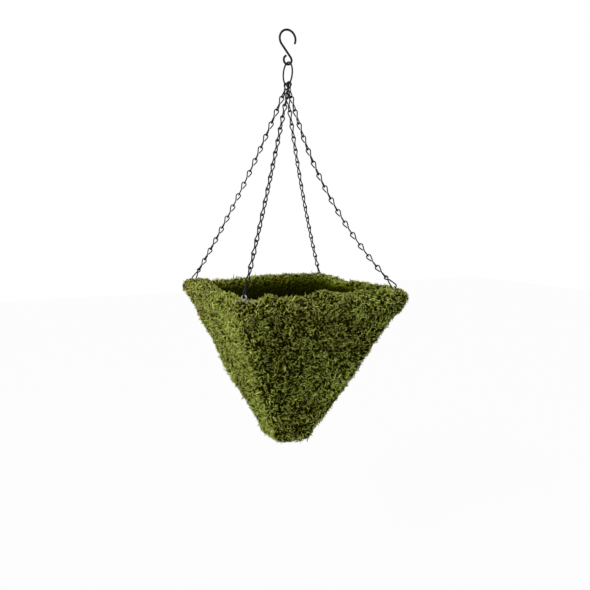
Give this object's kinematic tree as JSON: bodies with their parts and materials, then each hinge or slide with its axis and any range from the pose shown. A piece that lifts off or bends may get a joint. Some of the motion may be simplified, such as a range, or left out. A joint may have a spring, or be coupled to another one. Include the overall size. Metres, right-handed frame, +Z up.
{
  "type": "hanging basket",
  "caption": "Square moss planter, shaped as an inverted pyramid, on a welded wire frame with a plastic liner, hung by four jack chains from a ring and hook.",
  "frame": {"origin": "inside of the hanging hook, where it bears on what carries it", "axes": "+Z up, along the line of the load; +X to the right of the front moss face, whose outside looks towards -Y; the hook opens towards +X"},
  "size_m": [0.326, 0.326, 0.7791],
  "materials": {
    "sheet_moss": "dried and dyed sheet moss, matt and shaggy",
    "liner_plastic": "thin black film",
    "chain_steel": "thin dark coating, semi-gloss",
    "hook_steel": "dark coating, semi-gloss",
    "galvanised_wire": "galvanised"
  },
  "bodies": {
    "hanger": {"hanging_hook": "hook_steel"},
    "ring": {"gather_ring": "hook_steel"},
    "basket": {"rim_wire": "galvanised_wire", "corner_eye_front_left": "galvanised_wire", "corner_eye_front_right": "galvanised_wire", "corner_eye_back_left": "galvanised_wire", "corner_eye_back_right": "galvanised_wire", "corner_rib_front_left": "galvanised_wire", "corner_rib_front_right": "galvanised_wire", "corner_rib_back_left": "galvanised_wire", "corner_rib_back_right": "galvanised_wire", "face_rib_front_1": "galvanised_wire", "face_rib_front_2": "galvanised_wire", "face_rib_right_1": "galvanised_wire", "face_rib_right_2": "galvanised_wire", "face_rib_back_1": "galvanised_wire", "face_rib_back_2": "galvanised_wire", "face_rib_left_1": "galvanised_wire", "face_rib_left_2": "galvanised_wire", "hoop_upper": "galvanised_wire", "hoop_middle": "galvanised_wire", "hoop_lower": "galvanised_wire", "hoop_foot": "galvanised_wire", "liner": "liner_plastic", "moss_face_front": "sheet_moss", "moss_face_right": "sheet_moss", "moss_face_back": "sheet_moss", "moss_face_left": "sheet_moss", "moss_roll_front": "sheet_moss", "moss_roll_right": "sheet_moss", "moss_roll_back": "sheet_moss", "moss_roll_left": "sheet_moss", "moss_foot": "sheet_moss"},
    "chain_front_left": {"chain_front_left": "chain_steel", "corner_hook_front_left": "chain_steel"},
    "chain_front_right": {"chain_front_right": "chain_steel", "corner_hook_front_right": "chain_steel"},
    "chain_back_left": {"chain_back_left": "chain_steel", "corner_hook_back_left": "chain_steel"},
    "chain_back_right": {"chain_back_right": "chain_steel", "corner_hook_back_right": "chain_steel"}
  },
  "joints": [
    {"name": "ring_swing", "type": "hinge", "parent": "hanger", "child": "ring", "pos_m": [0, 0, -0.05934], "axis": [1, 0, 0], "range_deg": [-30, 30]},
    {"name": "basket_swing", "type": "hinge", "parent": "ring", "child": "basket", "pos_m": [0, 0, -0.09476], "axis": [0, 1, 0], "range_deg": [-20, 20]},
    {"name": "chain_sway_front_left", "type": "hinge", "parent": "basket", "child": "chain_front_left", "pos_m": [0, -0.00732, -0.09415], "axis": [-0.3457, -0.3284, -0.879], "range_deg": [-15, 15]},
    {"name": "chain_sway_front_right", "type": "hinge", "parent": "basket", "child": "chain_front_right", "pos_m": [0, -0.00249, -0.09538], "axis": [0.3453, -0.3394, -0.875], "range_deg": [-15, 15]},
    {"name": "chain_sway_back_left", "type": "hinge", "parent": "basket", "child": "chain_back_left", "pos_m": [0, 0.00249, -0.09538], "axis": [-0.3453, 0.3394, -0.875], "range_deg": [-15, 15]},
    {"name": "chain_sway_back_right", "type": "hinge", "parent": "basket", "child": "chain_back_right", "pos_m": [0, 0.00732, -0.09415], "axis": [0.3457, 0.3284, -0.879], "range_deg": [-15, 15]}
  ]
}
